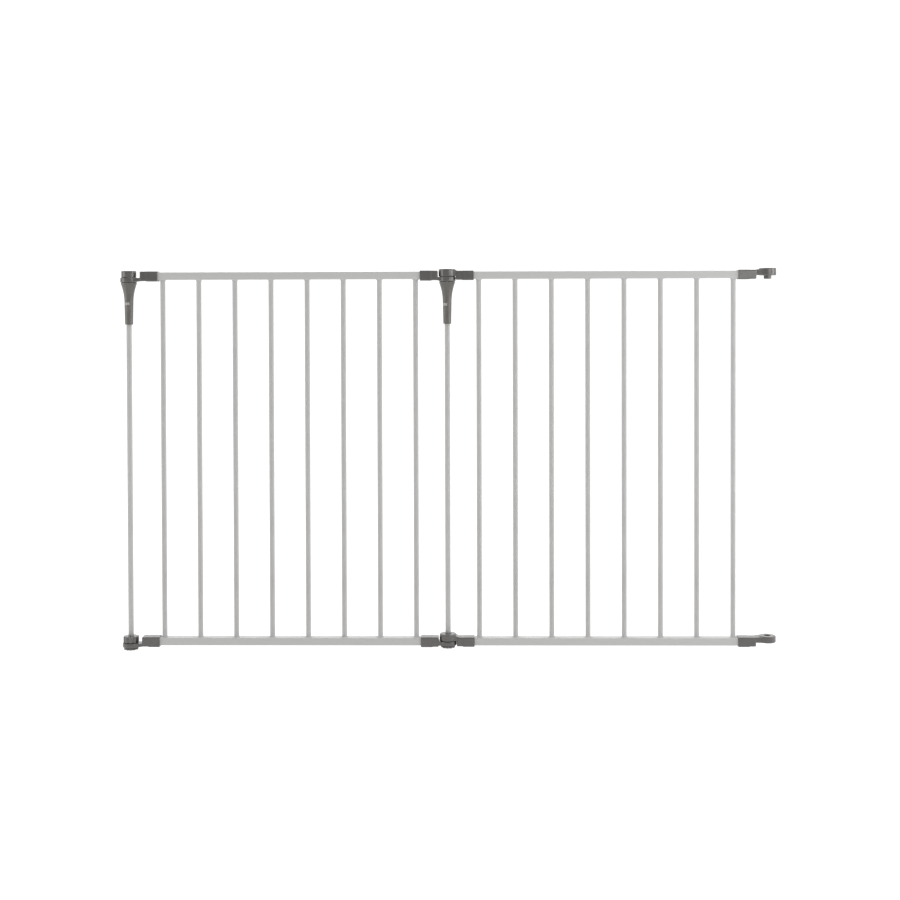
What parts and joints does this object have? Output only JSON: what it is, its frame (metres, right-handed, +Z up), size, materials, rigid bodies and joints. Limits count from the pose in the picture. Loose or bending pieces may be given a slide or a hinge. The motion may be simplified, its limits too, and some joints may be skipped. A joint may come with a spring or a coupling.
{
  "type": "safety baby gate",
  "caption": "Grey steel baby gate of two barred panels in line, hinged on a turning post with a spring-loaded tapered grip, with plastic eyes at the free end.",
  "frame": {"origin": "on the floor, below the axis of the middle post, which is the middle of the gate's length", "axes": "+X along the gate from the left post to the free eyes, +Y through the gate from the button side to the screw side, +Z up"},
  "size_m": [1.2854, 0.0334, 0.7483],
  "materials": {
    "steel": "light grey powder coat, satin",
    "connector": "dark warm grey moulded plastic, fine grain",
    "grip": "dark warm grey moulded plastic, fine grain",
    "button": "light grey moulded plastic",
    "zinc": "bright zinc plate",
    "spring": "drawn spring steel"
  },
  "bodies": {
    "left_panel": {"left_panel_bar_1": "steel", "left_panel_bar_2": "steel", "left_panel_bar_3": "steel", "left_panel_bar_4": "steel", "left_panel_bar_5": "steel", "left_panel_bar_6": "steel", "left_panel_bar_7": "steel", "left_panel_bar_8": "steel", "left_panel_bottom_left_connector": "connector", "left_panel_bottom_rail": "steel", "left_panel_bottom_right_connector": "connector", "left_panel_screw_1": "zinc", "left_panel_screw_2": "zinc", "left_panel_screw_3": "zinc", "left_panel_screw_4": "zinc", "left_panel_top_left_connector": "connector", "left_panel_top_rail": "steel", "left_panel_top_right_connector": "connector", "left_top_cap": "connector"},
    "right_panel": {"right_panel_bar_1": "steel", "right_panel_bar_2": "steel", "right_panel_bar_3": "steel", "right_panel_bar_4": "steel", "right_panel_bar_5": "steel", "right_panel_bar_6": "steel", "right_panel_bar_7": "steel", "right_panel_bar_8": "steel", "right_panel_bottom_left_connector": "connector", "right_panel_bottom_rail": "steel", "right_panel_bottom_right_connector": "connector", "right_panel_screw_1": "zinc", "right_panel_screw_2": "zinc", "right_panel_screw_3": "zinc", "right_panel_screw_4": "zinc", "right_panel_top_left_connector": "connector", "right_panel_top_rail": "steel", "right_panel_top_right_connector": "connector"},
    "left_post": {"left_post_rod": "steel", "left_post_plug": "zinc", "left_grip_spring": "spring", "left_post_crown": "connector"},
    "left_foot": {"left_post_foot": "grip"},
    "left_grip": {"left_grip": "grip", "left_grip_pin": "zinc", "left_button_spring": "spring"},
    "left_button": {"left_button": "button"},
    "middle_post": {"middle_post_rod": "steel", "middle_post_plug": "zinc", "middle_grip_spring": "spring"},
    "middle_foot": {"middle_post_foot": "grip"},
    "middle_grip": {"middle_grip": "grip", "middle_grip_pin": "zinc", "middle_button_spring": "spring"},
    "middle_button": {"middle_button": "button"}
  },
  "joints": [
    {"name": "panel_swing", "type": "hinge", "parent": "left_panel", "child": "right_panel", "pos_m": [0, 0, 0.37], "axis": [0, 0, 1], "range_deg": [-110, 110]},
    {"name": "left_post_turn", "type": "hinge", "parent": "left_panel", "child": "left_post", "pos_m": [-0.626, 0, 0.37], "axis": [0, 0, 1], "continuous": true},
    {"name": "left_foot_turn", "type": "hinge", "parent": "left_post", "child": "left_foot", "pos_m": [-0.626, 0, 0.004], "axis": [0, 0, 1], "continuous": true},
    {"name": "left_grip_slide", "type": "slide", "parent": "left_post", "child": "left_grip", "axis": [0, 0, -1], "range_m": [0, 0.011], "stiffness_N_per_m": 600, "springref_m": -0.008, "deforming": ["left_grip_spring"]},
    {"name": "left_button_press", "type": "slide", "parent": "left_grip", "child": "left_button", "axis": [0.1392, 0.9903, 0], "range_m": [0, 0.001], "stiffness_N_per_m": 800, "springref_m": -0.002, "deforming": ["left_button_spring"]},
    {"name": "middle_post_turn", "type": "hinge", "parent": "left_panel", "child": "middle_post", "pos_m": [0, 0, 0.37], "axis": [0, 0, 1], "continuous": true},
    {"name": "middle_foot_turn", "type": "hinge", "parent": "middle_post", "child": "middle_foot", "pos_m": [0, 0, 0.004], "axis": [0, 0, 1], "continuous": true},
    {"name": "middle_grip_slide", "type": "slide", "parent": "middle_post", "child": "middle_grip", "axis": [0, 0, -1], "range_m": [0, 0.011], "stiffness_N_per_m": 600, "springref_m": -0.008, "deforming": ["middle_grip_spring"]},
    {"name": "middle_button_press", "type": "slide", "parent": "middle_grip", "child": "middle_button", "axis": [0.454, 0.891, 0], "range_m": [0, 0.001], "stiffness_N_per_m": 800, "springref_m": -0.002, "deforming": ["middle_button_spring"]}
  ]
}
